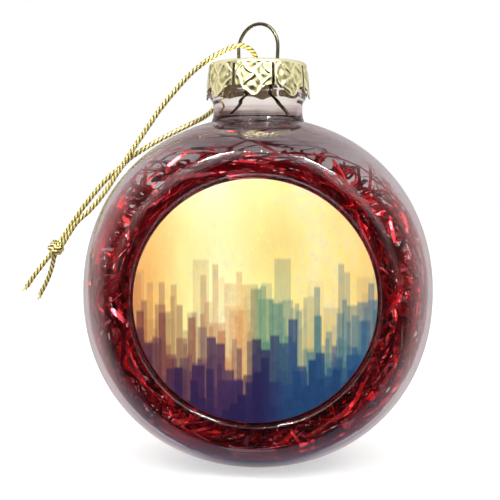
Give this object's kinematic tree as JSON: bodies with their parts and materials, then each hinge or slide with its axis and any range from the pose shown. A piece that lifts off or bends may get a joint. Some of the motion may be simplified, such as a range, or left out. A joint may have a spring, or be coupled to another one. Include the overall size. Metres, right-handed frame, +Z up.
{
  "type": "fillable christmas ball ornament",
  "caption": "Clear plastic Christmas ball with a flat front holding a round picture disc, red film tinsel inside, a gold crown cap, a wire hanger and a gold cord.",
  "frame": {"origin": "centre of the ball's small flat base", "axes": "+Z up the neck, -Y out of the picture disc's face, +X to the right of a viewer facing the picture"},
  "size_m": [0.0942, 0.066, 0.1013],
  "materials": {
    "clear_plastic": "polished clear moulded plastic",
    "printed_disc": "satin printed coating",
    "adhesive_pad": "matte foam tape",
    "gold_cap": "bright stamped gold",
    "bronze_wire": "dark bronze plated wire",
    "gold_cord": "metallic twisted thread",
    "red_film": "metallised red film"
  },
  "bodies": {
    "ball": {"ball_shell": "clear_plastic", "picture_disc": "printed_disc", "adhesive_pad": "adhesive_pad", "tinsel_strand_01": "red_film", "tinsel_strand_02": "red_film", "tinsel_strand_03": "red_film", "tinsel_strand_04": "red_film", "tinsel_strand_05": "red_film", "tinsel_strand_06": "red_film", "tinsel_strand_07": "red_film", "tinsel_strand_08": "red_film", "tinsel_strand_09": "red_film", "tinsel_strand_10": "red_film", "tinsel_strand_11": "red_film", "tinsel_strand_12": "red_film", "tinsel_strand_13": "red_film", "tinsel_strand_14": "red_film", "tinsel_strand_15": "red_film", "tinsel_strand_16": "red_film", "tinsel_strand_17": "red_film", "tinsel_strand_18": "red_film", "tinsel_strand_19": "red_film", "tinsel_strand_20": "red_film", "tinsel_strand_21": "red_film", "tinsel_strand_22": "red_film", "tinsel_strand_23": "red_film", "tinsel_strand_24": "red_film", "tinsel_strand_25": "red_film", "tinsel_strand_26": "red_film"},
    "cap": {"crown_cap": "gold_cap"},
    "hanger": {"wire_hanger": "bronze_wire", "cord_loop": "gold_cord", "cord_knot": "gold_cord", "cord_tail_outer": "gold_cord", "cord_tail_inner": "gold_cord"}
  },
  "joints": [
    {"name": "cap_lift", "type": "slide", "parent": "ball", "child": "cap", "axis": [0, 0, 1], "range_m": [0, 0.016]},
    {"name": "hanger_pull", "type": "slide", "parent": "cap", "child": "hanger", "axis": [0, 0, 1], "range_m": [0, 0.0015]}
  ]
}
